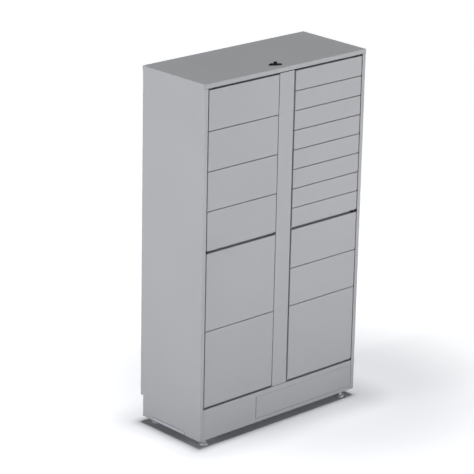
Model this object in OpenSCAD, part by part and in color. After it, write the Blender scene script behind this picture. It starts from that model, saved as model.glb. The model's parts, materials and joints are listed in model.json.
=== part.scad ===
// Free-standing parcel locker: two columns of hinged compartment doors stand on either
// side of a narrow centre spine that holds the electric locks, above a service plinth
// on levelling feet. Every compartment door turns on fixed pivot pins at its outer edge.
// Frame: origin at floor level under the centre of the footprint, +X to the right seen
// from the front, -Y towards the front, +Z up. Millimetres.

/* [Cabinet] */
// Overall width over the side panels
cabinet_w = 1050; // [900:10:1400]
// Overall depth from the door faces to the rear of the top panel
cabinet_d = 442; // [400:1:600]
// Clearance between the floor and the underside of the body
foot_h = 38; // [35:1:60]
// Thickness of the folded steel sheet
sheet = 1.5; // [1.2:0.1:2]
// Outside radius of the folds
bend_r = 2.5; // [2.2:0.1:4]
// Width of the side panel's return beside the doors
side_return = 21.5; // [20:0.5:40]
// Depth of the cover that stands behind the side panels
rear_cover_d = 22; // [16:1:40]
// Height of the top panel's front and rear folds
top_fold_h = 21; // [16:1:24]

/* [Compartments] */
// Height of one compartment unit
unit_h = 98; // [96:1:140]
// Units in each of the two modules of a column
module_units = 8; // [8:1:8]
// Left column, upper module: units of each compartment, top to bottom
left_upper = [2, 2, 2, 2]; // whole numbers that add up to module_units
// Left column, lower module
left_lower = [4, 4]; // whole numbers that add up to module_units
// Right column, upper module
right_upper = [1, 1, 1, 1, 1, 1, 1, 1]; // whole numbers that add up to module_units
// Right column, lower module
right_lower = [2, 2, 4]; // whole numbers that add up to module_units
// Extra height of each module's top compartments
top_extra = 4; // [0:0.5:8]
// Space between the upper and the lower module
module_gap = 11; // [11:1:30]
// Height of the plinth, from the underside of the body to the lower module
plinth_h = 169.5; // [150:0.5:260]
// Space above the upper module
head_h = 28.5; // [26:0.5:60]

/* [Doors] */
// Gap between doors that stand one above the other
door_gap = 3; // [3:0.1:6]
// Gap between a door's hinge edge and the side panel
side_gap = 5; // [4.5:0.1:6]
// Depth of the door pan
door_d = 18; // [16:0.5:22]
// Width of the lip that the pawl holds
lip_w = 15; // [12:1:18]
// Distance of the pivot from the door's outer edge
pivot_in = 12; // [11:0.5:14]
// Distance of the pivot behind the door's face
pivot_back = 10; // [9:0.5:11]
// Radius of the pivot pin
pin_r = 2.5; // [2:0.1:3]
// Radial clearance of the doors and pawls on their pins
run_gap = 0.06; // [0.03:0.01:0.1]

/* [Spine and locks] */
// Width of the centre spine
spine_w = 96; // [90:1:140]
// Gap between a door and the spine
spine_gap = 6; // [5:0.1:8]
// Distance of the spine's face behind the door faces
spine_recess = 3; // [1:0.5:4]
// Length of a pawl from its shaft to its tip
pawl_l = 33; // [32:1:34]
// Width of a pawl
pawl_w = 12; // [10:1:14]
// Thickness of a pawl
pawl_t = 3; // [2:0.5:3]

/* [Plinth and feet] */
// Height of the fixed rail above the access cover
rail_h = 26; // [20:1:40]
// Height of the fixed strip below the access cover
strip_h = 20; // [16:1:30]
// Width of the access cover
cover_w = 657; // [500:1:700]
// Radius of a levelling foot
foot_r = 22.5; // [20:0.5:30]
// Distance of a foot from the side of the body
foot_in_x = 60; // [45:1:70]
// Distance of a foot from the front of the body
foot_in_y = 36; // [30:1:60]
// Radius of the floor anchor holes
anchor_r = 6.5; // [5:0.5:8]

/* [Hidden] */
LEFT = -1;
RIGHT = 1;
half_w = cabinet_w / 2;
front_y = -cabinet_d / 2;
rear_y = cabinet_d / 2;
side_rear_y = rear_y - rear_cover_d;
body_z = foot_h;
lower_z = body_z + plinth_h;
lower_top = lower_z + module_units * unit_h + top_extra;
upper_z = lower_top + module_gap;
upper_top = upper_z + module_units * unit_h + top_extra;
top_z = upper_top + head_h;
top_fold_z = top_z - top_fold_h;
plinth_top = lower_z - 9.5;
cover_z = body_z + strip_h;
cover_top = plinth_top - rail_h;

// compartment stacks, side by side: index 0 the left column, 1 the right column
stacks = [[left_upper, left_lower], [right_upper, right_lower]];
module_floors = [upper_z, lower_z];
door_count = [len(left_upper) + len(left_lower), len(right_upper) + len(right_lower)];

// door, pivot and lock positions, given for the right side and mirrored for the left
door_outer = half_w - side_return - side_gap;
door_inner = spine_w / 2 + spine_gap;
pivot_x = door_outer - pivot_in;
pivot_y = front_y + pivot_back;
door_rear_y = front_y + door_d;
liner_x = half_w - side_return;
liner_y = front_y + 17;
deck_y = front_y + 21;
notch_x = pivot_x - 17;
notch_y = front_y + 36;
back_y = side_rear_y - 2 * sheet;
wall_x = spine_w / 2 - sheet;
spine_back_y = front_y + 41;
wire_hole_in = 200;
wire_hole_r = 20;
lock_x = 33;
pawl_y = door_rear_y + 0.8;
lock_front_y = door_rear_y + 7;
lock_d = 66;
lock_h = 60;
tab_t = 1.6;
leg_t = 1;
leg_h = 15;
pin_l = 14;
anchor_y = side_rear_y - 192;
anchor_pitch = 160;
anchor_half_l = 114.5;
anchor_x = half_w - 30;
gland_x = -29.5;
gland_y = front_y + 57;
gland_turn = -25;
gland_h = 16;
gland_body_r = 12;
gland_collar_r = 8.5;
gland_neck_l = 14;
flange_reach = 27;
flange_end_r = 6;
flange_t = 5;
gland_hole_r = 9;
cable_r = 4.5;
fold_gap = 1.2;
cover_seam = 0.4;
cover_side_seam = 3;
plinth_end_gap = 2.4;
plinth_end = liner_x - plinth_end_gap;
cover_left = liner_x - cover_w;
screw_r = 5;
round_fn = 48;
eps = 0.01;

// door k of a column, counted from 1 at the top, belongs to a module and a place in it
function col(side) = side < 0 ? 0 : 1;
function upper_n(side) = len(stacks[col(side)][0]);
function part_of(side, k) = k <= upper_n(side) ? 0 : 1;
function place_of(side, k) = k <= upper_n(side) ? k - 1 : k - 1 - upper_n(side);
function units(side, k) = stacks[col(side)][part_of(side, k)];
function sum_from(v, n) = n >= len(v) ? 0 : v[n] + sum_from(v, n + 1);
function slot_floor(side, k) =
    module_floors[part_of(side, k)] + unit_h * sum_from(units(side, k), place_of(side, k) + 1);
function slot_h(side, k) =
    unit_h * units(side, k)[place_of(side, k)] + (place_of(side, k) == 0 ? top_extra : 0);
function slot_top(side, k) = slot_floor(side, k) + slot_h(side, k);
function slot_mid(side, k) = slot_floor(side, k) + slot_h(side, k) / 2;
// levels where doors meet: every slot's top, and the two modules' undersides
function levels(side) = concat(
    [for (k = [1 : door_count[col(side)]]) slot_top(side, k)],
    [upper_z, lower_z]);
// levels that carry a shelf: the slot tops that aren't a module's top
function shelf_levels(side) =
    [for (k = [1 : door_count[col(side)]]) if (place_of(side, k) > 0) slot_top(side, k)];

paint = "#b4b6ba";
paint_dark = "#9a9ca0";
zinc = "#c9ccd2";
steel = "#8f9296";
black = "#1b1c1e";

// ---- helpers ----

// a box between two corners
module block(a, b) translate(a) cube(b - a);

// the same shape on the right as drawn, or mirrored to the left
module on_side(side) mirror([side < 0 ? 1 : 0, 0, 0]) children();

// both sides at once
module both_sides() for (side = [LEFT, RIGHT]) on_side(side) children();

// a rectangle between two corners with some corners rounded: near is the -Y pair
module plate_2d(a, b, r, near = true, far = false) {
    near_y = near ? r : 0;
    far_y = far ? r : 0;
    translate([a[0], a[1] + near_y]) square([b[0] - a[0], b[1] - a[1] - near_y - far_y]);
    if (near) round_edge_2d(a[0], b[0], a[1] + r, r);
    if (far) round_edge_2d(a[0], b[0], b[1] - r, r);
}

// the rounded end strip of a plate: two quarter rounds and the flat between them
module round_edge_2d(x0, x1, y, r) {
    translate([x0 + r, y]) circle(r, $fn = round_fn);
    translate([x1 - r, y]) circle(r, $fn = round_fn);
    translate([x0 + r, y - r]) square([x1 - x0 - 2 * r, 2 * r]);
}

// a profile drawn in X-Y and stretched along Z
module along_z(z0, z1) translate([0, 0, z0]) linear_extrude(z1 - z0) children();

// a profile drawn in Y-Z (first coordinate Y) and stretched along X
module along_x(x0, x1) translate([x0, 0, 0])
    rotate([90, 0, 90]) linear_extrude(x1 - x0) children();

// a pan open to the back: all four front edges are rounded, the walls fold to the rear
module pan(a, b, depth, r = bend_r) {
    difference() {
        rounded_front(a, b, depth, r);
        rounded_front(
            [a[0] + sheet, a[1] + sheet, a[2] + sheet],
            [b[0] - sheet, b[1] + sheet, b[2] - sheet], depth + eps, r - sheet);
    }
}

// a slab whose four front edges are rounded; a and b hold its lowest and highest corner
module rounded_front(a, b, depth, r) {
    intersection() {
        along_z(a[2], b[2]) plate_2d([a[0], a[1]], [b[0], a[1] + depth], r);
        along_x(a[0], b[0]) rotate(90) mirror([0, 1]) plate_2d(
            [a[2], a[1]], [b[2], a[1] + depth], r);
    }
}

// a round bar along Z
module rod(x, y, z0, z1, r) translate([x, y, z0]) cylinder(h = z1 - z0, r = r, $fn = round_fn);

// a round bar along Y
module rod_y(x, z, y0, y1, r)
    translate([x, y0, z]) rotate([-90, 0, 0]) cylinder(h = y1 - y0, r = r, $fn = round_fn);

// ---- cabinet ----

// folded side sheet: front return, inner lip and rear fold, seen from above as a C
module side_profile() {
    difference() {
        plate_2d([liner_x, front_y], [half_w, side_rear_y], bend_r);
        plate_2d([liner_x + sheet, front_y + sheet],
            [half_w - sheet, side_rear_y - sheet], bend_r - sheet);
        translate([liner_x - 1, front_y + 16])
            square([sheet + 2, side_rear_y - sheet - front_y - 16]);
    }
}

module side_panel() {
    difference() {
        along_z(body_z, top_z - sheet) side_profile();
        // the front return stops under the top panel's fold
        block([liner_x - 1, front_y - 1, top_fold_z - fold_gap],
            [half_w + 1, front_y + bend_r + 0.5, top_z]);
        block([liner_x - 1, front_y - 1, top_fold_z - fold_gap],
            [liner_x + sheet + 1, front_y + 20, top_z]);
        // notch in the bottom edge that the anchor plate shows through
        block([half_w - 2 * sheet, anchor_y - anchor_half_l - 3.5, body_z - 1],
            [half_w + 1, anchor_y + anchor_half_l + 1, body_z + 18]);
    }
}

module side_panel_left() { color(paint) on_side(LEFT) side_panel(); }
module side_panel_right() { color(paint) side_panel(); }

// top sheet over the whole footprint with a fold down at the front and the rear
module top_panel() {
    color(paint) difference() {
        along_x(-half_w, half_w)
            translate([front_y, top_z]) mirror([0, 1]) top_profile(top_fold_h);
        rod(gland_x, gland_y, top_z - 3, top_z + 1, gland_hole_r);
    }
}

// the top panel's section: a channel with rounded outer corners, drawn downwards
module top_profile(fold) {
    difference() {
        plate_2d([0, 0], [cabinet_d, fold], bend_r);
        plate_2d([sheet, sheet], [cabinet_d - sheet, fold + 1], bend_r - sheet);
    }
}

// floor of the plinth, folded up at the front and the rear
module base_tray() {
    color(paint_dark) difference() {
        union() {
            block([-half_w + sheet, front_y + sheet, body_z],
                [half_w - sheet, back_y, body_z + 2]);
            block([-liner_x, front_y + sheet, body_z],
                [liner_x, front_y + sheet + 2, body_z + strip_h - 2]);
            block([-half_w + sheet, back_y - 2, body_z],
                [half_w - sheet, back_y, body_z + 40]);
        }
        both_sides() {
            block([half_w - 5, anchor_y - anchor_half_l - 0.5, body_z - 1],
                [half_w, anchor_y + anchor_half_l + 0.5, body_z + 3]);
            for (y = [-1, 1])
                rod(anchor_x, anchor_y + y * anchor_pitch / 2, body_z - 1, body_z + 3, anchor_r);
            for (y = foot_ys())
                rod(foot_x(), y, body_z - 1, body_z + 3, 5.2);
            // corner cleared for the side panel's inner lip
            block([liner_x, front_y, body_z - 1], [half_w, front_y + 16.2, body_z + 3]);
        }
    }
}

function foot_x() = half_w - foot_in_x;
function foot_ys() = [front_y + foot_in_y, side_rear_y - foot_in_y];

// flat sheet behind the compartments
module back_panel() {
    color(paint_dark) difference() {
        block([-half_w + sheet, back_y, body_z + 2], [half_w - sheet, back_y + sheet, top_z - sheet]);
        rod_y(0, upper_top - wire_hole_in, back_y - 1, back_y + 3, wire_hole_r);
        rod_y(0, lower_z + wire_hole_in, back_y - 1, back_y + 3, wire_hole_r);
    }
}

// service cover behind the back panel, a pan that opens forwards
module rear_cover() {
    color(paint) mirror([0, 1, 0])
        pan([-half_w, -rear_y + sheet, body_z + 109],
            [half_w, -rear_y + sheet, top_z - sheet], rear_cover_d - sheet);
}

// flat liners that close the compartments' outer sides
module side_liners() {
    color(paint_dark) both_sides()
        block([liner_x, liner_y, lower_z + sheet / 2], [liner_x + sheet, back_y, upper_top - sheet / 2]);
}

// ---- spine ----

// slots in both sides of the spine that the pawls swing out through
module pawl_slots() {
    for (side = [LEFT, RIGHT], k = [1 : door_count[col(side)]])
        on_side(side) translate([0, 0, slot_mid(side, k)])
            block([wall_x - 1, pawl_y - 2, -pawl_l - 2],
                [spine_w / 2 + 1, pawl_y + pawl_t + 2, pawl_w / 2 + 3]);
}

// front cover of the spine: a channel that faces forwards
module spine_cover() {
    color(paint) difference() {
        along_z(plinth_top + 1, top_fold_z - 5) difference() {
            plate_2d([-spine_w / 2, front_y + spine_recess], [spine_w / 2, spine_back_y], bend_r);
            plate_2d([-wall_x, front_y + spine_recess + sheet],
                [wall_x, spine_back_y + 1], bend_r - sheet);
        }
        pawl_slots();
    }
}

// walls and rear web that part the spine from the compartments
module spine_channel() {
    color(paint_dark) along_z(lower_z + sheet / 2, upper_top - sheet / 2) difference() {
        translate([-spine_w / 2, spine_back_y]) square([spine_w, back_y - spine_back_y]);
        translate([-wall_x, spine_back_y - 1]) square([2 * wall_x, back_y - sheet - spine_back_y + 1]);
    }
}

// ---- decks and shelves ----

// outline of a shelf, with its front outer corner cut back for the door's hinge edge
module shelf_2d() {
    difference() {
        translate([spine_w / 2, deck_y]) square([liner_x - spine_w / 2, back_y - deck_y]);
        translate([notch_x, deck_y - 1]) square([50, notch_y - deck_y + 1]);
    }
}

// a shelf plate about a level, with a lip folded down along its front
module shelf(z) {
    along_z(z - sheet / 2, z + sheet / 2) shelf_2d();
    block([spine_w / 2, deck_y, z - 12], [notch_x, deck_y + sheet, z]);
}

module shelves() {
    color(paint) for (side = [LEFT, RIGHT], z = shelf_levels(side)) on_side(side) shelf(z);
}

// an end deck: a plate across the whole cabinet with a front apron either side of the spine
module end_deck(z, apron_z) {
    difference() {
        block([-liner_x - sheet, deck_y, z - sheet / 2], [liner_x + sheet, back_y, z + sheet / 2]);
        both_sides() block([notch_x, deck_y - 1, z - 2], [half_w, notch_y, z + 2]);
        block([-spine_w / 2 - 0.2, deck_y - 1, z - 2], [spine_w / 2 + 0.2, spine_back_y + 0.2, z + 2]);
    }
    both_sides() block([spine_w / 2 + 0.2, deck_y, min(z, apron_z)],
        [notch_x, deck_y + sheet, max(z, apron_z)]);
}

module roof_deck() {
    color(paint_dark) difference() {
        end_deck(upper_top, top_z - sheet);
        block([-40, gland_y - 20, upper_top - 3], [40, gland_y + 60, upper_top + 3]);
    }
}

module floor_deck() {
    color(paint_dark) difference() {
        end_deck(lower_z, lower_z - 14);
        block([-40, lock_front_y, lower_z - 3], [40, lock_front_y + 80, lower_z + 3]);
    }
}

// the box section between the two modules of a column
module mid_deck() {
    for (z = [lower_top, upper_z]) along_z(z - sheet / 2, z + sheet / 2) shelf_2d();
    block([spine_w / 2, deck_y, lower_top], [notch_x, deck_y + sheet, upper_z]);
}

module mid_decks() { color(paint_dark) both_sides() mid_deck(); }

// ---- hinges ----

// black bracket that carries one pivot pin in the gap between two doors: a flat tab
// around the pin, and a leg that lies on the side panel's inner lip
module hinge_bracket(z) {
    difference() {
        union() {
            block([notch_x, deck_y, z - tab_t / 2], [liner_x, notch_y, z + tab_t / 2]);
            block([pivot_x - 5, pivot_y, z - tab_t / 2], [liner_x, deck_y, z + tab_t / 2]);
            rod(pivot_x, pivot_y, z - tab_t / 2, z + tab_t / 2, 5);
            block([pivot_x, pivot_y - 5, z - tab_t / 2], [liner_x, pivot_y, z + tab_t / 2]);
            block([liner_x - leg_t, front_y + 2, z - leg_h / 2], [liner_x, notch_y, z + leg_h / 2]);
        }
        rod(pivot_x, pivot_y, z - 3, z + 3, pin_r + run_gap);
    }
}

module hinge_brackets() {
    color(black) for (side = [LEFT, RIGHT], z = levels(side)) on_side(side) hinge_bracket(z);
}

module hinge_pins() {
    color(steel) for (side = [LEFT, RIGHT], z = levels(side)) on_side(side)
        rod(pivot_x, pivot_y, z - pin_l / 2, z + pin_l / 2, pin_r);
}

// ---- doors and locks ----

// a compartment door: a folded pan, a lip along its free edge for the pawl, a catch
// plate behind the lip, pivot bosses at the hinge edge and ribs across the wide pans
module door_solid(h) {
    face_in = front_y + sheet;
    difference() {
        union() {
            pan([door_inner, front_y, 0], [door_outer, front_y, h], door_d, 2);
            block([door_inner, door_rear_y - sheet, 0], [door_inner + lip_w, door_rear_y, h]);
            block([door_inner + 1.5, door_rear_y - sheet - 3, h / 2 - 20],
                [door_inner + lip_w, door_rear_y - sheet, h / 2 + 20]);
            for (z = [sheet, h - sheet - 5])
                rod(pivot_x, pivot_y, z, z + 5, 6);
            for (n = [1 : 1 : floor(h / 150)])
                door_rib(n * h / (floor(h / 150) + 1), face_in);
        }
        rod(pivot_x, pivot_y, -1, h + 1, pin_r + run_gap);
    }
}

// a hat rib across the inside of a door
module door_rib(z, face_in) {
    difference() {
        block([door_inner + 40, face_in - 0.2, z - 15], [door_outer - 40, face_in + 9, z + 15]);
        block([door_inner + 39, face_in - 1, z - 13.5], [door_outer - 39, face_in + 7.5, z + 13.5]);
    }
}

module door(side, k) {
    color(paint) on_side(side)
        translate([0, 0, slot_floor(side, k) + door_gap / 2])
            door_solid(slot_h(side, k) - door_gap);
}

// an electric lock: case, front boss with the pawl's shaft, and a plug at the rear
module lock_body(z) {
    block([8, lock_front_y, z - lock_h / 2], [wall_x, lock_front_y + lock_d, z + lock_h / 2]);
    block([14, lock_front_y + lock_d, z - 12], [38, lock_front_y + lock_d + 10, z + 12]);
    rod_y(lock_x, z, pawl_y + pawl_t + 0.3, lock_front_y, 7);
    rod_y(lock_x, z, pawl_y - 2, lock_front_y, 3);
}

module lock_bodies() {
    color(black) for (side = [LEFT, RIGHT], k = [1 : door_count[col(side)]])
        on_side(side) lock_body(slot_mid(side, k));
}

// a pawl hanging from its shaft, in its released place
module pawl(side, k) {
    color(zinc) on_side(side) translate([lock_x, pawl_y, slot_mid(side, k)])
        difference() {
            union() {
                rod_y(0, 0, 0, pawl_t, pawl_w / 2);
                block([-pawl_w / 2, 0, -pawl_l], [pawl_w / 2, pawl_t, 0]);
            }
            rod_y(0, 0, -1, pawl_t + 1, 3 + run_gap);
        }
}

// ---- plinth ----

// fixed front of the plinth: left part, strip and rail around the access cover
module plinth_panel() {
    color(paint) difference() {
        union() {
            block([-liner_x, front_y, body_z], [plinth_end, front_y + sheet, plinth_top]);
            block([-liner_x, front_y, plinth_top - sheet], [plinth_end, front_y + 16, plinth_top]);
        }
        block([cover_left - cover_side_seam, front_y - 1, cover_z],
            [liner_x + 1, front_y + sheet + 1, cover_top]);
    }
}

module plinth_access_cover() {
    color(paint) pan(
        [cover_left, front_y, cover_z + cover_seam],
        [plinth_end, front_y, cover_top - cover_seam], 12, 1.6);
}

// button-head screws: the rear cover's, and the access cover's from below
module panel_screws() {
    color(steel) {
        for (x = [-half_w + 30, 0, half_w - 30], z = [body_z + 135, (body_z + top_z) / 2, top_z - 50])
            rod_y(x, z, rear_y - sheet, rear_y, screw_r);
        for (x = [cover_left + 60, (cover_left + plinth_end) / 2, plinth_end - 60])
            rod(x, front_y + 14, body_z - 2.5, body_z, screw_r);
    }
}

module lock_controller() {
    color(black) {
        block([80, -110, body_z + 8], [300, 30, body_z + 48]);
        for (x = [90, 290], y = [-100, 20]) rod(x, y, body_z + 2, body_z + 8, 5);
    }
}

module power_supply() {
    color(steel) block([-260, -110, body_z + 2], [-45, 5, body_z + 52]);
}

// ---- feet, anchors and cable entry ----

module foot_pads() {
    color(zinc) both_sides() for (y = foot_ys()) {
        rod(foot_x(), y, 0, 7, foot_r);
        translate([foot_x(), y, 7]) cylinder(h = 5, r1 = foot_r - 4, r2 = 10, $fn = round_fn);
    }
}

module foot_stems() {
    color(steel) both_sides() for (y = foot_ys()) rod(foot_x(), y, 12, body_z + 35, 5);
}

module foot_locknuts() {
    color(zinc) both_sides() for (y = foot_ys()) difference() {
        translate([foot_x(), y, body_z - 8]) cylinder(h = 8, r = 9.8, $fn = 6);
        rod(foot_x(), y, body_z - 9, body_z + 1, 5.05);
    }
}

// angle plates that tie the base to the floor, seen in the side panels' notches
module anchor_plates() {
    color(zinc) both_sides() difference() {
        union() {
            block([half_w - 4.7, anchor_y - anchor_half_l, body_z],
                [half_w - 0.7, anchor_y + anchor_half_l, body_z + 16]);
            block([anchor_x - 25, anchor_y - anchor_half_l, body_z + 2],
                [half_w - 4.7, anchor_y + anchor_half_l, body_z + 6]);
        }
        for (y = [-1, 1])
            rod(anchor_x, anchor_y + y * anchor_pitch / 2, body_z - 1, body_z + 7, anchor_r);
    }
}

// outline of the cable entry's flange: a long plate with two rounded ends
module gland_flange_2d() {
    hull() {
        circle(gland_body_r, $fn = round_fn);
        for (side = [LEFT, RIGHT])
            translate([side * flange_reach, 0]) circle(flange_end_r, $fn = round_fn);
    }
}

// flanged cable entry above the spine: a long flange with a raised clamp boss on one
// arm, a collar, and the threaded neck with its nut under the top panel
module cable_gland() {
    color(black) translate([gland_x, gland_y, top_z]) difference() {
        union() {
            rotate(gland_turn) along_z(0, flange_t) gland_flange_2d();
            rotate(gland_turn) rod(flange_reach - 9, 0, flange_t, flange_t + 4, flange_end_r);
            translate([0, 0, flange_t])
                cylinder(h = 3, r1 = gland_body_r - 1, r2 = gland_collar_r, $fn = round_fn);
            rod(0, 0, flange_t + 3, gland_h, gland_collar_r);
            rod(0, 0, -gland_neck_l, 0, gland_hole_r - 0.3);
            translate([0, 0, -sheet - 8]) cylinder(h = 8, r = 14, $fn = 6);
        }
        rod(0, 0, -gland_neck_l - 1, gland_h + 1, cable_r);
    }
}

// ---- output ----

side_panel_left();
side_panel_right();
top_panel();
base_tray();
back_panel();
rear_cover();
side_liners();
spine_cover();
spine_channel();
shelves();
roof_deck();
mid_decks();
floor_deck();
plinth_panel();
plinth_access_cover();
panel_screws();
hinge_brackets();
hinge_pins();
lock_bodies();
lock_controller();
power_supply();
foot_pads();
foot_stems();
foot_locknuts();
anchor_plates();
cable_gland();
for (k = [1 : door_count[0]])
    door(LEFT, k);
for (k = [1 : door_count[1]])
    door(RIGHT, k);
for (k = [1 : door_count[0]])
    pawl(LEFT, k);
for (k = [1 : door_count[1]])
    pawl(RIGHT, k);
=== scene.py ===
# Looks of a free-standing steel parcel locker: powder-coated folded sheet, zinc-plated
# hardware, black nylon fittings, on a pale studio floor. Metres, in the CAD frame.
import bpy
import bmesh
import json
import math
from mathutils import Matrix, Vector


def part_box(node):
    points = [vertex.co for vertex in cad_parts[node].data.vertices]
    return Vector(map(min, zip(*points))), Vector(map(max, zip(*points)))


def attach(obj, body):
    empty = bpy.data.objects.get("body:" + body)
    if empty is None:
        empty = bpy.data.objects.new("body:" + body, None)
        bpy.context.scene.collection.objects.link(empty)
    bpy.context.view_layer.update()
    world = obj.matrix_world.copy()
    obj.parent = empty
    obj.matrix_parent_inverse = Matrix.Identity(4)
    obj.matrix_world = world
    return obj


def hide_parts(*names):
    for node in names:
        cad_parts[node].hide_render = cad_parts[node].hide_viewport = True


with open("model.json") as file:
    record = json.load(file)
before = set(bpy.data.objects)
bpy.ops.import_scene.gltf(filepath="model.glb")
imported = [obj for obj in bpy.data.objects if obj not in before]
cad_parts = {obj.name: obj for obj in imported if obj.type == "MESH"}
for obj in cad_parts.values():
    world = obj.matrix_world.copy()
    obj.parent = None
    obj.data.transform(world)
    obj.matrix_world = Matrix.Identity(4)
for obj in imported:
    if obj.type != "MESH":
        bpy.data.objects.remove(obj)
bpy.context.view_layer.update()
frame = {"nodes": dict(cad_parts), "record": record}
NODES = frame["nodes"]
MM = 0.001

# ---- places taken from the frame ----

BODY_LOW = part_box("side_panel_left")[0]
BODY_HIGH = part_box("side_panel_right")[1]
CABINET_W = BODY_HIGH.x - BODY_LOW.x
FRONT_Y = BODY_LOW.y
TOP_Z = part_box("top_panel")[1].z

# ---- camera: the place is in cabinet widths from the body's lower front left corner ----

EYE_IN_WIDTHS = (-6.775, -7.496, 4.514)
CAMERA_AZIMUTH = math.radians(42.97)
CAMERA_ELEVATION = math.radians(19.17)
CAMERA_ROLL = math.radians(1.21)
CAMERA_LENS = 182.3
CAMERA_REACH = 60.0
SENSOR = 36.0


def make_camera():
    """The scene camera, looking down at the front left corner from far off."""
    data = bpy.data.cameras.new("camera")
    data.lens = CAMERA_LENS
    data.sensor_width = SENSOR
    data.clip_end = CAMERA_REACH
    camera = bpy.data.objects.new("camera", data)
    bpy.context.scene.collection.objects.link(camera)
    az, el, roll = CAMERA_AZIMUTH, CAMERA_ELEVATION, CAMERA_ROLL
    forward = Vector((math.sin(az) * math.cos(el), math.cos(az) * math.cos(el), -math.sin(el)))
    right = Vector((math.cos(az), -math.sin(az), 0.0))
    up = right.cross(forward)
    rolled_right = right * math.cos(roll) + up * math.sin(roll)
    rolled_up = up * math.cos(roll) - right * math.sin(roll)
    turn = Matrix((rolled_right, rolled_up, -forward)).transposed().to_4x4()
    eye = Vector(BODY_LOW) + Vector(EYE_IN_WIDTHS) * CABINET_W
    camera.matrix_world = Matrix.Translation(eye) @ turn
    bpy.context.scene.camera = camera


make_camera()

# ---- materials ----

# most values of a noise lie between these
NOISE_LOW, NOISE_HIGH = 0.25, 0.75
TINT_LOW, TINT_HIGH = 0.3, 0.7


def new_material(name):
    """A material with its node tree and its main shader."""
    material = bpy.data.materials.new(name)
    material.use_nodes = True
    tree = material.node_tree
    shader = tree.nodes["Principled BSDF"]
    return material, tree, shader


def node(tree, kind, **values):
    """A shader node with its sockets or attributes set by name."""
    made = tree.nodes.new(kind)
    for key, value in values.items():
        if hasattr(made, key):
            setattr(made, key, value)
        else:
            made.inputs[key.replace("_", " ")].default_value = value
    return made


def noise(tree, scale, detail=3.0, roughness=0.5, stretch=(1, 1, 1)):
    """Noise in the object's own metres, stretched along an axis where asked."""
    coord = tree.nodes.new("ShaderNodeTexCoord")
    mapping = tree.nodes.new("ShaderNodeMapping")
    mapping.inputs["Scale"].default_value = stretch
    made = node(tree, "ShaderNodeTexNoise", Scale=scale, Detail=detail, Roughness=roughness)
    tree.links.new(coord.outputs["Object"], mapping.inputs["Vector"])
    tree.links.new(mapping.outputs["Vector"], made.inputs["Vector"])
    return made


def ramp(tree, source, low, high):
    """A number between two values, driven by a texture."""
    made = tree.nodes.new("ShaderNodeMapRange")
    made.inputs["From Min"].default_value = NOISE_LOW
    made.inputs["From Max"].default_value = NOISE_HIGH
    made.inputs["To Min"].default_value = low
    made.inputs["To Max"].default_value = high
    tree.links.new(source, made.inputs["Value"])
    return made.outputs["Result"]


def tint(tree, source, dark, light):
    """A colour between two colours, driven by a texture."""
    made = tree.nodes.new("ShaderNodeValToRGB")
    made.color_ramp.elements[0].position = TINT_LOW
    made.color_ramp.elements[1].position = TINT_HIGH
    made.color_ramp.elements[0].color = (*dark, 1)
    made.color_ramp.elements[1].color = (*light, 1)
    tree.links.new(source, made.inputs["Fac"])
    return made.outputs["Color"]


def shaded(colour, factor):
    """A colour made darker or lighter."""
    return tuple(min(1.0, c * factor) for c in colour)


def bump(tree, shader, source, depth, strength, after=None):
    """Relief of a given depth in metres on the shader's normal."""
    made = node(tree, "ShaderNodeBump", Strength=strength, Distance=depth)
    tree.links.new(source, made.inputs["Height"])
    if after is not None:
        tree.links.new(after.outputs["Normal"], made.inputs["Normal"])
    tree.links.new(made.outputs["Normal"], shader.inputs["Normal"])
    return made


def powder_coat(name, colour, rough=0.5):
    """Satin powder coat: fine orange peel, cloudy shade and sheen changes of a few percent."""
    material, tree, shader = new_material(name)
    cloud = noise(tree, scale=2.3, detail=4.0)
    shade = tint(tree, cloud.outputs["Fac"], shaded(colour, 0.975), shaded(colour, 1.02))
    tree.links.new(shade, shader.inputs["Base Color"])
    sheen = noise(tree, scale=60.0, detail=5.0, roughness=0.6)
    tree.links.new(ramp(tree, sheen.outputs["Fac"], rough - 0.05, rough + 0.05), shader.inputs["Roughness"])
    peel = noise(tree, scale=620.0, detail=2.0, roughness=0.45)
    grain = noise(tree, scale=2400.0, detail=2.0, roughness=0.6)
    first = bump(tree, shader, peel.outputs["Fac"], depth=0.03 * MM, strength=0.55)
    bump(tree, shader, grain.outputs["Fac"], depth=0.01 * MM, strength=0.35, after=first)
    shader.inputs["Specular IOR Level"].default_value = 0.4
    return material


def zinc(name, colour, rough=0.32, metallic=1.0):
    """Bright zinc plate: faint crystal patches, fine rubbing marks, a cool cast."""
    material, tree, shader = new_material(name)
    coord = tree.nodes.new("ShaderNodeTexCoord")
    spangle = node(tree, "ShaderNodeTexVoronoi", Scale=260.0)
    tree.links.new(coord.outputs["Object"], spangle.inputs["Vector"])
    split = tree.nodes.new("ShaderNodeSeparateColor")
    tree.links.new(spangle.outputs["Color"], split.inputs["Color"])
    shade = tint(tree, split.outputs["Red"], shaded(colour, 0.9), colour)
    tree.links.new(shade, shader.inputs["Base Color"])
    rub = noise(tree, scale=180.0, detail=5.0, roughness=0.6, stretch=(1, 1, 6))
    tree.links.new(ramp(tree, rub.outputs["Fac"], rough - 0.08, rough + 0.1), shader.inputs["Roughness"])
    bump(tree, shader, rub.outputs["Fac"], depth=0.02 * MM, strength=0.3)
    shader.inputs["Metallic"].default_value = metallic
    return material


def turned_steel(name, colour, rough=0.28):
    """Plain steel with turning marks that run round the part."""
    material, tree, shader = new_material(name)
    marks = noise(tree, scale=90.0, detail=4.0, roughness=0.6, stretch=(1, 1, 22))
    shade = tint(tree, marks.outputs["Fac"], shaded(colour, 0.86), colour)
    tree.links.new(shade, shader.inputs["Base Color"])
    tree.links.new(ramp(tree, marks.outputs["Fac"], rough - 0.06, rough + 0.12), shader.inputs["Roughness"])
    bump(tree, shader, marks.outputs["Fac"], depth=0.02 * MM, strength=0.4)
    shader.inputs["Metallic"].default_value = 1.0
    return material


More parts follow.
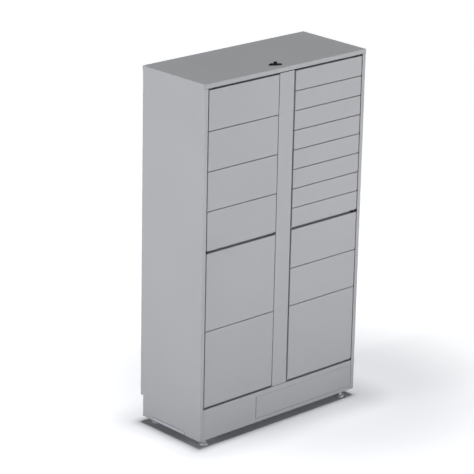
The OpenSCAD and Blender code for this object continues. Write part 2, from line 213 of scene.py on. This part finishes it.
def moulded(name, colour, rough=0.55, gloss=0.5):
    """Moulded plastic with a fine spark-eroded grain."""
    material, tree, shader = new_material(name)
    cloud = noise(tree, scale=25.0)
    light = tuple(c * 1.35 + 0.002 for c in colour)
    tree.links.new(tint(tree, cloud.outputs["Fac"], colour, light), shader.inputs["Base Color"])
    grain = noise(tree, scale=1400.0, roughness=0.65)
    tree.links.new(ramp(tree, grain.outputs["Fac"], rough - 0.08, rough + 0.08), shader.inputs["Roughness"])
    bump(tree, shader, grain.outputs["Fac"], depth=0.04 * MM, strength=0.4)
    shader.inputs["Specular IOR Level"].default_value = gloss
    return material


SHELL_GREY = (0.380, 0.384, 0.398)
DOOR_GREY = (0.376, 0.380, 0.394)
INNER_GREY = (0.36, 0.364, 0.376)
MATERIALS = {
    "shell_paint": powder_coat("shell_paint", SHELL_GREY),
    "door_paint": powder_coat("door_paint", DOOR_GREY),
    "inner_paint": powder_coat("inner_paint", INNER_GREY, rough=0.58),
    "zinc_plate": zinc("zinc_plate", (0.72, 0.735, 0.78)),
    "pivot_steel": turned_steel("pivot_steel", (0.55, 0.56, 0.58)),
    "bright_screws": turned_steel("bright_screws", (0.66, 0.67, 0.69), rough=0.22),
    "supply_case": turned_steel("supply_case", (0.68, 0.69, 0.70), rough=0.36),
    "black_steel": powder_coat("black_steel", (0.014, 0.014, 0.015), rough=0.42),
    "lock_case": moulded("lock_case", (0.022, 0.022, 0.024)),
    "black_nylon": moulded("black_nylon", (0.005, 0.005, 0.006), rough=0.6, gloss=0.2),
}
# a darker, duller copy of the zinc plate, for the anchor plates; and a lighter, less metallic copy on the
# feet, painted light so that feet in the cabinet's shade look lit
DULL_ZINC = zinc("dull_zinc", (0.47, 0.47, 0.52), rough=0.5, metallic=0.6)
PAINTED_LIGHT_ZINC = zinc("painted_light_zinc", (0.78, 0.79, 0.83), rough=0.4, metallic=0.55)

# ---- CAD nodes: finish and softened edges ----

SLOT_OF = {s["node"]: s["material_slot"] for s in frame["record"]["subparts"]}
EDGE_RADIUS = 0.35 * MM
FINE_EDGE_RADIUS = 0.12 * MM
EDGE_SEGMENTS = 2
WELD_REACH = 0.01 * MM
SHARP_ANGLE = math.radians(32)


def soften(piece, radius):
    """Joins the facets and rounds every sharp edge a little, so that edges catch the light."""
    weld = piece.modifiers.new("weld", "WELD")
    weld.merge_threshold = WELD_REACH
    bevel = piece.modifiers.new("bevel", "BEVEL")
    bevel.width = radius
    bevel.segments = EDGE_SEGMENTS
    bevel.limit_method = "ANGLE"
    bevel.angle_limit = SHARP_ANGLE
    bevel.harden_normals = True
    bevel.use_clamp_overlap = True


for name, piece in NODES.items():
    piece.data.materials.clear()
    piece.data.materials.append(MATERIALS[SLOT_OF[name]])
    normals = piece.data.attributes.get("custom_normal")
    if normals is not None:
        piece.data.attributes.remove(normals)
    soften(piece, FINE_EDGE_RADIUS if name.startswith("side_panel") else EDGE_RADIUS)
NODES["anchor_plates"].data.materials[0] = DULL_ZINC

# ---- mesh helpers for the detailed pieces; their profiles are in millimetres ----

ROUND, MIDDLE_ROUND, SMALL_ROUND = 48, 32, 24
PITCH, THREAD_DEPTH, THREAD_STEPS = 1.5, 0.55, 6
SAME_PLACE = 0.001 * MM
UP, DOWN, OUT_REAR, OUT_FRONT = (0, 0, 1), (0, 0, -1), (0, 1, 0), (0, -1, 0)


def solids(name):
    """The lowest and highest corner of each separate solid of a CAD node."""
    builder = bmesh.new()
    builder.from_mesh(NODES[name].data)
    bmesh.ops.remove_doubles(builder, verts=builder.verts, dist=SAME_PLACE)
    left = set(builder.verts)
    boxes = []
    while left:
        found = [left.pop()]
        island = []
        while found:
            vert = found.pop()
            island.append(vert.co.copy())
            for edge in vert.link_edges:
                other = edge.other_vert(vert)
                if other in left:
                    left.remove(other)
                    found.append(other)
        low = Vector([min(point[i] for point in island) for i in range(3)])
        high = Vector([max(point[i] for point in island) for i in range(3)])
        boxes.append((low, high))
    builder.free()
    return sorted(boxes, key=lambda box: [round(value, 5) for value in box[0]])


def facing(place, axis=UP):
    """A local frame at a place, with its Z along an axis."""
    turn = Vector(axis).to_track_quat("Z", "Y").to_matrix().to_4x4()
    return Matrix.Translation(Vector(place)) @ turn


def hex_reach(angle, flat):
    """Distance from the centre to a hexagon's edge, where flat is half its width across flats."""
    sector = math.pi / 3
    return flat / math.cos((angle + sector / 2) % sector - sector / 2)


def skin(builder, rings, closed=False):
    """Faces between rings of points; a ring of one point is a pole, an open end gets a cap."""
    pairs = list(zip(rings, rings[1:]))
    if closed:
        pairs.append((rings[-1], rings[0]))
    for one, two in pairs:
        count = max(len(one), len(two))
        for i in range(count):
            j = (i + 1) % count
            corners = [one[i % len(one)], one[j % len(one)], two[j % len(two)], two[i % len(two)]]
            builder.faces.new(list(dict.fromkeys(corners)))
    if not closed:
        for ring in (rings[0], rings[-1]):
            if len(ring) > 1:
                builder.faces.new(ring)


def turned(builder, place, profile, closed=False, segments=ROUND):
    """A turned shape. A profile point is (radius, height), with half the width across flats
    as a third number where the shape is a hexagon there."""
    rings = []
    for radius, height, *flat in profile:
        if radius == 0:
            rings.append([builder.verts.new(place @ Vector((0, 0, height * MM)))])
            continue
        ring = []
        for i in range(segments):
            angle = 2 * math.pi * i / segments
            reach = min(radius, hex_reach(angle, flat[0])) if flat else radius
            spot = Vector((reach * math.cos(angle), reach * math.sin(angle), height)) * MM
            ring.append(builder.verts.new(place @ spot))
        rings.append(ring)
    skin(builder, rings, closed)


def threaded(builder, place, radius, length, segments=SMALL_ROUND):
    """A rod with a helical thread."""
    rings = []
    count = int(length / PITCH * THREAD_STEPS)
    for n in range(count + 1):
        height = length * n / count
        ring = []
        for i in range(segments):
            phase = (height / PITCH - i / segments) % 1.0
            reach = radius - THREAD_DEPTH * abs(2 * phase - 1)
            angle = 2 * math.pi * i / segments
            spot = Vector((reach * math.cos(angle), reach * math.sin(angle), height)) * MM
            ring.append(builder.verts.new(place @ spot))
        rings.append(ring)
    skin(builder, rings)


def slab(builder, low, high):
    """A block between two corners, in metres."""
    low, high = Vector(low), Vector(high)
    rings = []
    for z in (low.z, high.z):
        corners = ((low.x, low.y), (high.x, low.y), (high.x, high.y), (low.x, high.y))
        rings.append([builder.verts.new((x, y, z)) for x, y in corners])
    skin(builder, rings)


def hull_ring(builder, place, circles, height):
    """Points round the hull of circles, each given as (x, radius), at a height."""
    ring = []
    for n in range(2 * ROUND):
        angle = math.pi * n / ROUND
        x, radius = max(circles, key=lambda c: c[0] * math.cos(angle) + c[1])
        spot = Vector((x + radius * math.cos(angle), radius * math.sin(angle), height)) * MM
        ring.append(builder.verts.new(place @ spot))
    return ring


def add_piece(name, builder, slot, body="cabinet", replaced=(), edge=0.0):
    """Makes the finished mesh a piece that rides on a body and has a slot's finish."""
    bmesh.ops.recalc_face_normals(builder, faces=builder.faces)
    mesh = bpy.data.meshes.new(name)
    builder.to_mesh(mesh)
    builder.free()
    mesh.shade_smooth()
    mesh.set_sharp_from_angle(angle=SHARP_ANGLE)
    mesh.materials.append(MATERIALS[slot])
    piece = bpy.data.objects.new(name, mesh)
    bpy.context.scene.collection.objects.link(piece)
    if edge:
        soften(piece, edge)
    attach(piece, body)
    if replaced:
        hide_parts(*replaced)
    return piece


# ---- fasteners ----


def button_head(builder, place, radius, height, socket, depth):
    """A low domed screw head with a hexagon socket."""
    turned(builder, place, [
        (0, 0), (radius, 0), (radius, 0.22 * height), (0.95 * radius, 0.55 * height),
        (0.82 * radius, 0.84 * height), (0.66 * radius, height),
        (1.2 * socket, height, socket), (1.2 * socket, height - depth, socket), (0, height - depth)])


def rivet_head(builder, place, radius, height):
    """The domed head of a blind rivet, with the small dimple its mandrel leaves."""
    turned(builder, place, [
        (0, 0), (radius, 0), (radius, 0.2 * height), (0.88 * radius, 0.6 * height),
        (0.62 * radius, 0.9 * height), (0.34 * radius, height),
        (0.28 * radius, 0.7 * height), (0, 0.7 * height)], segments=SMALL_ROUND)


def hex_nut(builder, place, bore, flat, height):
    """A hexagon nut with both faces chamfered."""
    corner = flat / math.cos(math.pi / 6)
    turned(builder, place, [
        (bore, 0), (0.985 * flat, 0, flat), (corner, 0.1 * height, flat),
        (corner, 0.9 * height, flat), (0.985 * flat, height, flat), (bore, height)], closed=True)


PANEL_SOCKET, REAR_SOCKET_DEPTH, PLINTH_SOCKET_DEPTH = 1.5, 0.9, 1.4


def make_panel_screws():
    """Button heads where the covers are held: outwards at the rear, downwards under the plinth."""
    builder = bmesh.new()
    for low, high in solids("panel_screws"):
        middle, size = (low + high) / 2, (high - low) / MM
        if size.y < size.z:
            place = facing((middle.x, low.y, middle.z), OUT_REAR)
            button_head(builder, place, size.x / 2, size.y, PANEL_SOCKET, REAR_SOCKET_DEPTH)
        else:
            place = facing((middle.x, middle.y, high.z), DOWN)
            button_head(builder, place, size.x / 2, size.z, PANEL_SOCKET, PLINTH_SOCKET_DEPTH)
    add_piece("button_head_screws", builder, "bright_screws", replaced=["panel_screws"])


# ---- levelling feet ----

STEM_R, NUT_BORE = 5.0, 5.05
ADJUSTER_H = 6.0
NUT_FLAT, NUT_CORNER = 8.45, 9.8


def make_feet():
    """Pressed steel feet on rubber soles, with threaded stems, adjuster hexagons and locknuts."""
    pads, soles, stems, nuts = bmesh.new(), bmesh.new(), bmesh.new(), bmesh.new()
    for low, high in solids("foot_pads"):
        middle = (low + high) / 2
        radius, top = (high.x - low.x) / 2 / MM, (high.z - low.z) / MM
        place = facing((middle.x, middle.y, low.z))
        turned(pads, place, [
            (0, 1.2), (radius - 3, 1.2), (radius - 2.7, 0.5), (radius - 0.5, 0.5), (radius, 1.0),
            (radius, 4.8), (radius - 0.5, 6.0), (radius - 1.8, 6.9), (radius - 7, 8.3),
            (radius - 11, 10.2), (radius - 12.4, top), (0, top)])
        turned(pads, place, [
            (0, top), (0.985 * NUT_FLAT, top, NUT_FLAT), (NUT_CORNER, top + 0.6, NUT_FLAT),
            (NUT_CORNER, top + ADJUSTER_H - 0.6, NUT_FLAT),
            (0.985 * NUT_FLAT, top + ADJUSTER_H, NUT_FLAT), (0, top + ADJUSTER_H)])
        turned(soles, place, [
            (0, 0), (radius - 3.6, 0), (radius - 3.2, 0.4), (radius - 3.2, 1.15), (0, 1.15)])
    for low, high in solids("foot_stems"):
        middle = (low + high) / 2
        place = facing((middle.x, middle.y, low.z + ADJUSTER_H * MM))
        length = (high.z - low.z) / MM - ADJUSTER_H
        threaded(stems, place, STEM_R, length)
    for low, high in solids("foot_locknuts"):
        middle = (low + high) / 2
        place = facing((middle.x, middle.y, low.z))
        hex_nut(nuts, place, NUT_BORE, NUT_FLAT, (high.z - low.z) / MM)
    pad_piece = add_piece("pressed_feet", pads, "zinc_plate", replaced=["foot_pads"])
    # the feet get a lighter, less metallic copy of the zinc: painted light, so feet in the cabinet's shade
    # look lit
    pad_piece.data.materials[0] = PAINTED_LIGHT_ZINC
    add_piece("foot_soles", soles, "black_nylon")
    add_piece("threaded_stems", stems, "pivot_steel", replaced=["foot_stems"])
    add_piece("chamfered_locknuts", nuts, "zinc_plate", replaced=["foot_locknuts"])


# ---- cable entry on the top panel ----

FLANGE_TURN = math.radians(-25)
FLANGE_ARM, FLANGE_END_R, FLANGE_BODY_R, FLANGE_T = 27.0, 6.0, 12.0, 5.0
BOSS_IN, BOSS_H = 9.0, 4.0
COLLAR_R, CABLE_R = 8.5, 4.5
# the grip's flutes: their number, and how far crests and grooves stand out of the collar
FLUTES, CREST, GROOVE = 20, 0.55, 0.12
NECK_R = COLLAR_R + 0.2
GLAND_NUT_DROP, GLAND_NUT_BORE, GLAND_NUT_FLAT, GLAND_NUT_H = 9.5, COLLAR_R + 0.25, 12.1, 8.0
FLANGE_SCREW_R, FLANGE_SCREW_H, FLANGE_SCREW_SOCKET, FLANGE_SOCKET_DEPTH = 3.4, 1.9, 1.25, 1.1
FLANGE_SCREW_IN, FLANGE_SCREW_SUNK, BOSS_SCREW_SUNK = 4.0, 1.2, 1.1


def make_gland():
    """A flanged cable entry: chamfered flange, clamp boss, fluted collar, threaded neck and nut."""
    low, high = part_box("cable_gland")
    middle = (low + high) / 2
    place = facing((middle.x, middle.y, TOP_Z))
    top = (high.z - TOP_Z) / MM
    arm = place @ Matrix.Rotation(FLANGE_TURN, 4, "Z")
    builder = bmesh.new()
    rings = []
    for height, inset in ((0, 0), (FLANGE_T - 0.8, 0), (FLANGE_T, 0.8)):
        circles = [(-FLANGE_ARM, FLANGE_END_R - inset), (0, FLANGE_BODY_R - inset),
                   (FLANGE_ARM, FLANGE_END_R - inset)]
        rings.append(hull_ring(builder, arm, circles, height))
    skin(builder, rings)
    boss = arm @ Matrix.Translation(((FLANGE_ARM - BOSS_IN) * MM, 0, FLANGE_T * MM))
    turned(builder, boss, [
        (0, 0), (FLANGE_END_R, 0), (FLANGE_END_R, BOSS_H - 0.6), (FLANGE_END_R - 0.6, BOSS_H), (0, BOSS_H)])
    # collar: a cone, then a fluted grip under a plain domed rim around the cable hole
    turned(builder, place, [
        (0, FLANGE_T), (FLANGE_BODY_R - 1, FLANGE_T), (COLLAR_R, FLANGE_T + 3), (COLLAR_R, top - 2),
        (COLLAR_R - 0.5, top - 0.8), (COLLAR_R - 1.6, top - 0.1), (CABLE_R + 0.6, top),
        (CABLE_R, top - 0.5), (CABLE_R, top - 5), (0, top - 5)])
    grip = []
    for height, crest in ((FLANGE_T + 3.2, GROOVE), (FLANGE_T + 3.6, CREST), (top - 3.4, CREST),
                          (top - 3.0, GROOVE)):
        ring = []
        for i in range(4 * FLUTES):
            angle = 2 * math.pi * i / (4 * FLUTES)
            reach = COLLAR_R + (crest if i % 4 in (1, 2) else GROOVE)
            spot = Vector((reach * math.cos(angle), reach * math.sin(angle), height)) * MM
            ring.append(builder.verts.new(place @ spot))
        grip.append(ring)
    skin(builder, grip)
    # threaded neck and nut under the sheet
    neck_l = (TOP_Z - low.z) / MM
    neck = facing((middle.x, middle.y, low.z))
    threaded(builder, neck, NECK_R, neck_l, segments=MIDDLE_ROUND)
    nut = facing((middle.x, middle.y, TOP_Z - GLAND_NUT_DROP * MM))
    hex_nut(builder, nut, GLAND_NUT_BORE, GLAND_NUT_FLAT, GLAND_NUT_H)
    add_piece("fluted_cable_entry", builder, "black_nylon", replaced=["cable_gland"])
    screws = bmesh.new()
    for x, height in ((FLANGE_SCREW_IN - FLANGE_ARM, FLANGE_T - FLANGE_SCREW_SUNK),
                      (FLANGE_ARM - BOSS_IN, FLANGE_T + BOSS_H - BOSS_SCREW_SUNK)):
        spot = arm @ Matrix.Translation((x * MM, 0, height * MM))
        button_head(screws, spot, FLANGE_SCREW_R, FLANGE_SCREW_H, FLANGE_SCREW_SOCKET, FLANGE_SOCKET_DEPTH)
    add_piece("cable_entry_screws", screws, "black_steel")


# ---- hinges ----

WASHER_T, WASHER_R, WASHER_EDGE, PIN_PLAY = 0.6, 4.8, 0.3, 0.1
TAB_HALF_T, LEG_T = 0.83, 1.0
LEG_RIVET_R, LEG_RIVET_H, LEG_RIVET_IN, LEG_RIVET_BACK = 1.9, 0.7, 2.6, 9.0


def make_hinge_details():
    """Nylon washers above and below every bracket's tab, and rivets that hold its leg."""
    washers, rivets = bmesh.new(), bmesh.new()
    for low, high in solids("hinge_pins"):
        middle = (low + high) / 2
        bore = (high.x - low.x) / 2 / MM + PIN_PLAY
        for height in (TAB_HALF_T, -TAB_HALF_T - WASHER_T):
            place = facing((middle.x, middle.y, middle.z + height * MM))
            turned(washers, place, [
                (bore, 0), (WASHER_R - WASHER_EDGE, 0), (WASHER_R, 0.2), (WASHER_R, WASHER_T - 0.2),
                (WASHER_R - WASHER_EDGE, WASHER_T), (bore, WASHER_T)], closed=True, segments=MIDDLE_ROUND)
    for low, high in solids("hinge_brackets"):
        side = math.copysign(1, low.x)
        leg_x = max(abs(low.x), abs(high.x)) - LEG_T * MM
        for z in (low.z + LEG_RIVET_IN * MM, high.z - LEG_RIVET_IN * MM):
            place = (side * leg_x, high.y - LEG_RIVET_BACK * MM, z)
            rivet_head(rivets, facing(place, (-side, 0, 0)), LEG_RIVET_R, LEG_RIVET_H)
    add_piece("pivot_washers", washers, "black_nylon")
    add_piece("bracket_rivets", rivets, "pivot_steel")


# ---- shelves ----

SHELF_SHEET = 1.5
FLANGE_DROP, FLANGE_SHEET, FLANGE_END_GAP = 14.0, 1.2, 3.0
FLANGE_EDGE = 0.3 * MM
RIVET_PLACES = (0.08, 0.5, 0.92)
SHELF_RIVET_R, SHELF_RIVET_H, SHELF_RIVET_DROP = 3.0, 1.0, 1.0


def make_shelf_flanges():
    """Folded side flanges under each shelf, riveted to the liner and to the spine's wall."""
    flanges, rivets = bmesh.new(), bmesh.new()
    notch_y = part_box("hinge_brackets")[1].y
    for low, high in solids("shelves"):
        side = math.copysign(1, low.x + high.x)
        near, far = sorted((abs(low.x), abs(high.x)))
        y0, y1 = notch_y + FLANGE_END_GAP * MM, high.y - FLANGE_END_GAP * MM
        z1 = high.z - SHELF_SHEET * MM
        z0 = z1 - FLANGE_DROP * MM
        for wall, inward in ((near, 1), (far, -1)):
            face = wall + inward * FLANGE_SHEET * MM
            x0, x1 = sorted((side * wall, side * face))
            slab(flanges, (x0, y0, z0), (x1, y1, z1))
            for share in RIVET_PLACES:
                place = (side * face, y0 + share * (y1 - y0), (z0 + z1) / 2 - SHELF_RIVET_DROP * MM)
                rivet_head(rivets, facing(place, (side * inward, 0, 0)), SHELF_RIVET_R, SHELF_RIVET_H)
    add_piece("shelf_flanges", flanges, "inner_paint", edge=FLANGE_EDGE)
    add_piece("shelf_rivets", rivets, "bright_screws")


# ---- doors and pawls ----

# the stop's place is measured from the door's inner edge and its top
BUMPER_R, BUMPER_T, BUMPER_IN, BUMPER_DROP = 3.6, 2.5, 8.0, 7.5
CATCH_SCREW_R, CATCH_SOCKET, CATCH_SCREW_IN, CATCH_HALF_PITCH = 3.0, 1.1, 8.5, 14.0
PAWL_NUT_BORE, PAWL_NUT_FLAT, PAWL_NUT_H = 3.05, 4.9, 1.8


def make_door_details(name):
    """A rubber stop at the top of the door's lip and the two flush screws of its catch plate."""
    low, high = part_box(name)
    side = math.copysign(1, low.x)
    inner_x, rear_y = min(abs(low.x), abs(high.x)), high.y
    stops, screws = bmesh.new(), bmesh.new()
    place = (side * (inner_x + BUMPER_IN * MM), rear_y, high.z - BUMPER_DROP * MM)
    turned(stops, facing(place, OUT_REAR), [
        (0, 0), (BUMPER_R, 0), (BUMPER_R, 0.9), (0.9 * BUMPER_R, 1.7), (0.66 * BUMPER_R, 2.2),
        (0.3 * BUMPER_R, BUMPER_T), (0, BUMPER_T)], segments=MIDDLE_ROUND)
    for rise in (-CATCH_HALF_PITCH, CATCH_HALF_PITCH):
        place = (side * (inner_x + CATCH_SCREW_IN * MM), rear_y, (low.z + high.z) / 2 + rise * MM)
        turned(screws, facing(place, OUT_REAR), [
            (0, -0.6), (CATCH_SCREW_R, -0.6), (CATCH_SCREW_R, 0.1), (0.9 * CATCH_SCREW_R, 0.3),
            (1.2 * CATCH_SOCKET, 0.3, CATCH_SOCKET), (1.2 * CATCH_SOCKET, -0.5, CATCH_SOCKET), (0, -0.5)],
            segments=SMALL_ROUND)
    add_piece(f"{name}_stop", stops, "black_nylon", name)
    add_piece(f"{name}_catch_screws", screws, "bright_screws", name)


def make_pawl_nut(name):
    """The thin nut that holds the pawl on its lock's shaft."""
    low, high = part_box(name)
    middle_x = (low.x + high.x) / 2
    axis_z = high.z - (high.x - low.x) / 2
    builder = bmesh.new()
    place = facing((middle_x, low.y, axis_z), OUT_FRONT)
    hex_nut(builder, place, PAWL_NUT_BORE, PAWL_NUT_FLAT, PAWL_NUT_H)
    add_piece(f"{name}_nut", builder, "bright_screws", name)


# ---- locks, controller and supply ----

CASE_EDGE = 0.4 * MM
LID_T, LID_FRONT_IN, LID_REAR_IN, LID_END_IN = 1.2, 11.0, 13.0, 3.0
LID_SCREW_R, LID_SCREW_H, LID_SOCKET, LID_SOCKET_DEPTH, LID_SCREW_IN = 2.6, 1.3, 1.0, 0.8, 5.0


def make_lock_lids():
    """A screwed lid on every lock's inner face."""
    lids, screws = bmesh.new(), bmesh.new()
    for low, high in solids("lock_bodies"):
        side = math.copysign(1, low.x)
        case_x = side * min(abs(low.x), abs(high.x))
        lid_x = case_x - side * LID_T * MM
        y0, y1 = low.y + LID_FRONT_IN * MM, high.y - LID_REAR_IN * MM
        z0, z1 = low.z + LID_END_IN * MM, high.z - LID_END_IN * MM
        x0, x1 = sorted((case_x, lid_x))
        slab(lids, (x0, y0, z0), (x1, y1, z1))
        for y in (y0 + LID_SCREW_IN * MM, y1 - LID_SCREW_IN * MM):
            for z in (z0 + LID_SCREW_IN * MM, z1 - LID_SCREW_IN * MM):
                place = facing((lid_x, y, z), (-side, 0, 0))
                button_head(screws, place, LID_SCREW_R, LID_SCREW_H, LID_SOCKET, LID_SOCKET_DEPTH)
    add_piece("lock_lids", lids, "lock_case", edge=CASE_EDGE)
    add_piece("lock_lid_screws", screws, "bright_screws")


PLUGS_IN_ROW, PLUG_W, PLUG_D, PLUG_H, PLUG_IN = 9, 16.0, 12.0, 6.0, 6.0
# the supply's ribs stop short of its terminal strip
RIBS, RIB_T, RIB_H, RIB_LEFT_IN, RIB_RIGHT_IN = 16, 2.0, 3.0, 12.0, 40.0
STRIP_LEFT_IN, STRIP_RIGHT_IN, STRIP_END_IN, STRIP_H = 30.0, 8.0, 10.0, 9.0


def make_plinth_electrics():
    """Plug rows on the controller, and cooling ribs and a terminal strip on the supply."""
    plugs, ribs, strip = bmesh.new(), bmesh.new(), bmesh.new()
    low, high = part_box("lock_controller")
    pitch = (high.x - low.x) / (PLUGS_IN_ROW + 1)
    for n in range(PLUGS_IN_ROW):
        x = low.x + pitch * (n + 1)
        for y in (low.y + PLUG_IN * MM, high.y - (PLUG_IN + PLUG_D) * MM):
            corner = Vector((x - PLUG_W / 2 * MM, y, high.z))
            slab(plugs, corner, corner + Vector((PLUG_W, PLUG_D, PLUG_H)) * MM)
    low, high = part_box("power_supply")
    pitch = (high.y - low.y) / (RIBS + 1)
    for n in range(RIBS):
        y = low.y + pitch * (n + 1)
        slab(ribs, (low.x + RIB_LEFT_IN * MM, y - RIB_T / 2 * MM, high.z),
             (high.x - RIB_RIGHT_IN * MM, y + RIB_T / 2 * MM, high.z + RIB_H * MM))
    slab(strip, (high.x - STRIP_LEFT_IN * MM, low.y + STRIP_END_IN * MM, high.z),
         (high.x - STRIP_RIGHT_IN * MM, high.y - STRIP_END_IN * MM, high.z + STRIP_H * MM))
    add_piece("controller_plugs", plugs, "lock_case", edge=CASE_EDGE)
    add_piece("supply_ribs", ribs, "supply_case", edge=CASE_EDGE)
    add_piece("supply_terminals", strip, "lock_case", edge=CASE_EDGE)


make_panel_screws()
make_feet()
make_gland()
make_hinge_details()
make_shelf_flanges()
make_lock_lids()
make_plinth_electrics()
for name in sorted(NODES):
    if name.startswith("door_"):
        make_door_details(name)
    elif name.startswith("pawl_"):
        make_pawl_nut(name)

# ---- studio ----

FLOOR_RADIUS = 40.0
FLOOR_SEGMENTS = 96
# the floor's colour: even far off, with painted shade beside the footprint and a painted shadow under it
FLOOR_WHITE = (0.835, 0.845, 0.865)
FLOOR_NEAR_PAINTED_SHADE = (0.61, 0.62, 0.645)
FLOOR_PAINTED_SHADOW = (0.57, 0.58, 0.60)
NEAR_REACH = 0.26
SHADE_REACH = 0.012
# painted light: the floor glows though it is no lamp; the glow dims in an oval patch to the right of the
# object as painted shade, and is none right under it, a painted shadow
GLOW_COLOUR = (0.985, 0.99, 1.0)
DIM_CENTRE = (0.40, -0.06, 0.0)
DIM_REACH = (1.3, 1.34, 1.0)
DIM_START = 0.35
GLOW_NEAR = 0.02
GLOW_FAR = 0.35
CONTACT_REACH = 0.07
HALF_FOOTPRINT = (BODY_HIGH - BODY_LOW) / 2


def vector_step(tree, operation, source, operand=None):
    """One vector operation on the floor's coordinates."""
    made = node(tree, "ShaderNodeVectorMath", operation=operation)
    tree.links.new(source, made.inputs[0])
    if operand is not None:
        made.inputs[1].default_value = operand
    return made


def footprint_edge(tree, coord, reach):
    """Rises from 0 at the object's footprint to 1 at a reach outside it."""
    folded = vector_step(tree, "ABSOLUTE", coord)
    past = vector_step(tree, "SUBTRACT", folded.outputs["Vector"], (HALF_FOOTPRINT.x, HALF_FOOTPRINT.y, 0))
    outside = vector_step(tree, "MAXIMUM", past.outputs["Vector"], (0, 0, 0))
    edge = vector_step(tree, "LENGTH", outside.outputs["Vector"])
    rise = tree.nodes.new("ShaderNodeMapRange")
    rise.interpolation_type = "SMOOTHSTEP"
    rise.inputs["From Max"].default_value = reach
    tree.links.new(edge.outputs["Value"], rise.inputs["Value"])
    return rise.outputs["Result"]


def floor_glow(tree, coord):
    """Strength of the floor's own light, from the place on the floor."""
    moved = vector_step(tree, "SUBTRACT", coord, DIM_CENTRE)
    scaled = vector_step(tree, "DIVIDE", moved.outputs["Vector"], DIM_REACH)
    far = vector_step(tree, "LENGTH", scaled.outputs["Vector"])
    glow = tree.nodes.new("ShaderNodeMapRange")
    glow.interpolation_type = "SMOOTHSTEP"
    glow.inputs["From Min"].default_value = DIM_START
    glow.inputs["To Min"].default_value = GLOW_NEAR
    glow.inputs["To Max"].default_value = GLOW_FAR
    tree.links.new(far.outputs["Value"], glow.inputs["Value"])
    both = node(tree, "ShaderNodeMath", operation="MULTIPLY")
    tree.links.new(glow.outputs["Result"], both.inputs[0])
    # no glow under the footprint: painted shadow
    tree.links.new(footprint_edge(tree, coord, CONTACT_REACH), both.inputs[1])
    return both.outputs["Value"]


def floor_mix(tree, coord, reach, inner, outer):
    """A colour at the footprint that turns into another at a reach outside it."""
    made = node(tree, "ShaderNodeMixRGB", Color1=(*inner, 1), Color2=(*outer, 1))
    tree.links.new(footprint_edge(tree, coord, reach), made.inputs["Fac"])
    return made


def make_floor():
    """A pale round floor with painted light and shade: darker beside and under the object, and glowing more
    away from it.
    """
    mesh = bpy.data.meshes.new("floor")
    builder = bmesh.new()
    bmesh.ops.create_circle(builder, cap_ends=True, segments=FLOOR_SEGMENTS, radius=FLOOR_RADIUS)
    builder.to_mesh(mesh)
    builder.free()
    floor = bpy.data.objects.new("floor", mesh)
    bpy.context.scene.collection.objects.link(floor)
    material, tree, shader = new_material("floor")
    coord = tree.nodes.new("ShaderNodeTexCoord").outputs["Object"]
    # the floor's colour darkens towards the object: painted shade beside the footprint, painted shadow
    # under it
    pale = floor_mix(tree, coord, NEAR_REACH, FLOOR_NEAR_PAINTED_SHADE, FLOOR_WHITE)
    shade = floor_mix(tree, coord, SHADE_REACH, FLOOR_PAINTED_SHADOW, FLOOR_WHITE)
    tree.links.new(pale.outputs["Color"], shade.inputs["Color2"])
    tree.links.new(shade.outputs["Color"], shader.inputs["Base Color"])
    shader.inputs["Roughness"].default_value = 0.9
    shader.inputs["Specular IOR Level"].default_value = 0.1
    shader.inputs["Emission Color"].default_value = (*GLOW_COLOUR, 1)
    tree.links.new(floor_glow(tree, coord), shader.inputs["Emission Strength"])
    floor.data.materials.append(material)


BELOW_WHITE = (1.0, 1.0, 1.0)
HORIZON_GREY = (0.16, 0.16, 0.165)
OVERHEAD_GREY = (0.05, 0.05, 0.052)


def make_world():
    """Soft studio surround: dark overhead, a little brighter at the horizon, white below."""
    world = bpy.data.worlds.new("studio")
    bpy.context.scene.world = world
    world.use_nodes = True
    tree = world.node_tree
    background = tree.nodes["Background"]
    coord = tree.nodes.new("ShaderNodeTexCoord")
    split = tree.nodes.new("ShaderNodeSeparateXYZ")
    tree.links.new(coord.outputs["Generated"], split.inputs["Vector"])
    made = tree.nodes.new("ShaderNodeValToRGB")
    made.color_ramp.elements[0].position = 0.0
    made.color_ramp.elements[0].color = (*BELOW_WHITE, 1)
    made.color_ramp.elements[1].position = 1.0
    made.color_ramp.elements[1].color = (*OVERHEAD_GREY, 1)
    horizon = made.color_ramp.elements.new(0.5)
    horizon.color = (*HORIZON_GREY, 1)
    height = tree.nodes.new("ShaderNodeMapRange")
    height.inputs["From Min"].default_value = -1.0
    height.inputs["From Max"].default_value = 1.0
    tree.links.new(split.outputs["Z"], height.inputs["Value"])
    tree.links.new(height.outputs["Result"], made.inputs["Fac"])
    tree.links.new(made.outputs["Color"], background.inputs["Color"])


def add_sun(name, direction, strength, angle):
    """A far light; the angle, in degrees, sets how soft its shadows are."""
    data = bpy.data.lights.new(name, "SUN")
    data.energy = strength
    data.angle = math.radians(angle)
    light = bpy.data.objects.new(name, data)
    light.rotation_euler = Vector(direction).to_track_quat("-Z", "Y").to_euler()
    bpy.context.scene.collection.objects.link(light)


SPOT_DISTANCE, SPOT_HEIGHT, SPOT_RADIUS = 6.0, 1.6, 0.4


def add_spot(name, azimuth, target, cone, power):
    """A soft spot at an azimuth round the object (0 in front, 90 at the right), feathered
    so that little of it falls on the floor; the cone is in degrees, the power in watts."""
    data = bpy.data.lights.new(name, "SPOT")
    data.energy = power
    data.spot_size = math.radians(cone)
    data.spot_blend = 1.0
    data.shadow_soft_size = SPOT_RADIUS
    light = bpy.data.objects.new(name, data)
    az = math.radians(azimuth)
    place = Vector((math.sin(az) * SPOT_DISTANCE, -math.cos(az) * SPOT_DISTANCE, SPOT_HEIGHT))
    light.location = place
    light.rotation_euler = (Vector(target) - place).to_track_quat("-Z", "Y").to_euler()
    bpy.context.scene.collection.objects.link(light)


make_floor()
make_world()
add_sun("overhead", DOWN, strength=2.23, angle=2.0)
add_spot("front", 15, target=(0.16, FRONT_Y, 1.4), cone=44, power=686)
add_spot("left", -96, target=(BODY_LOW.x, 0.0, 1.45), cone=46, power=652)
bpy.context.scene.view_settings.view_transform = "Standard"
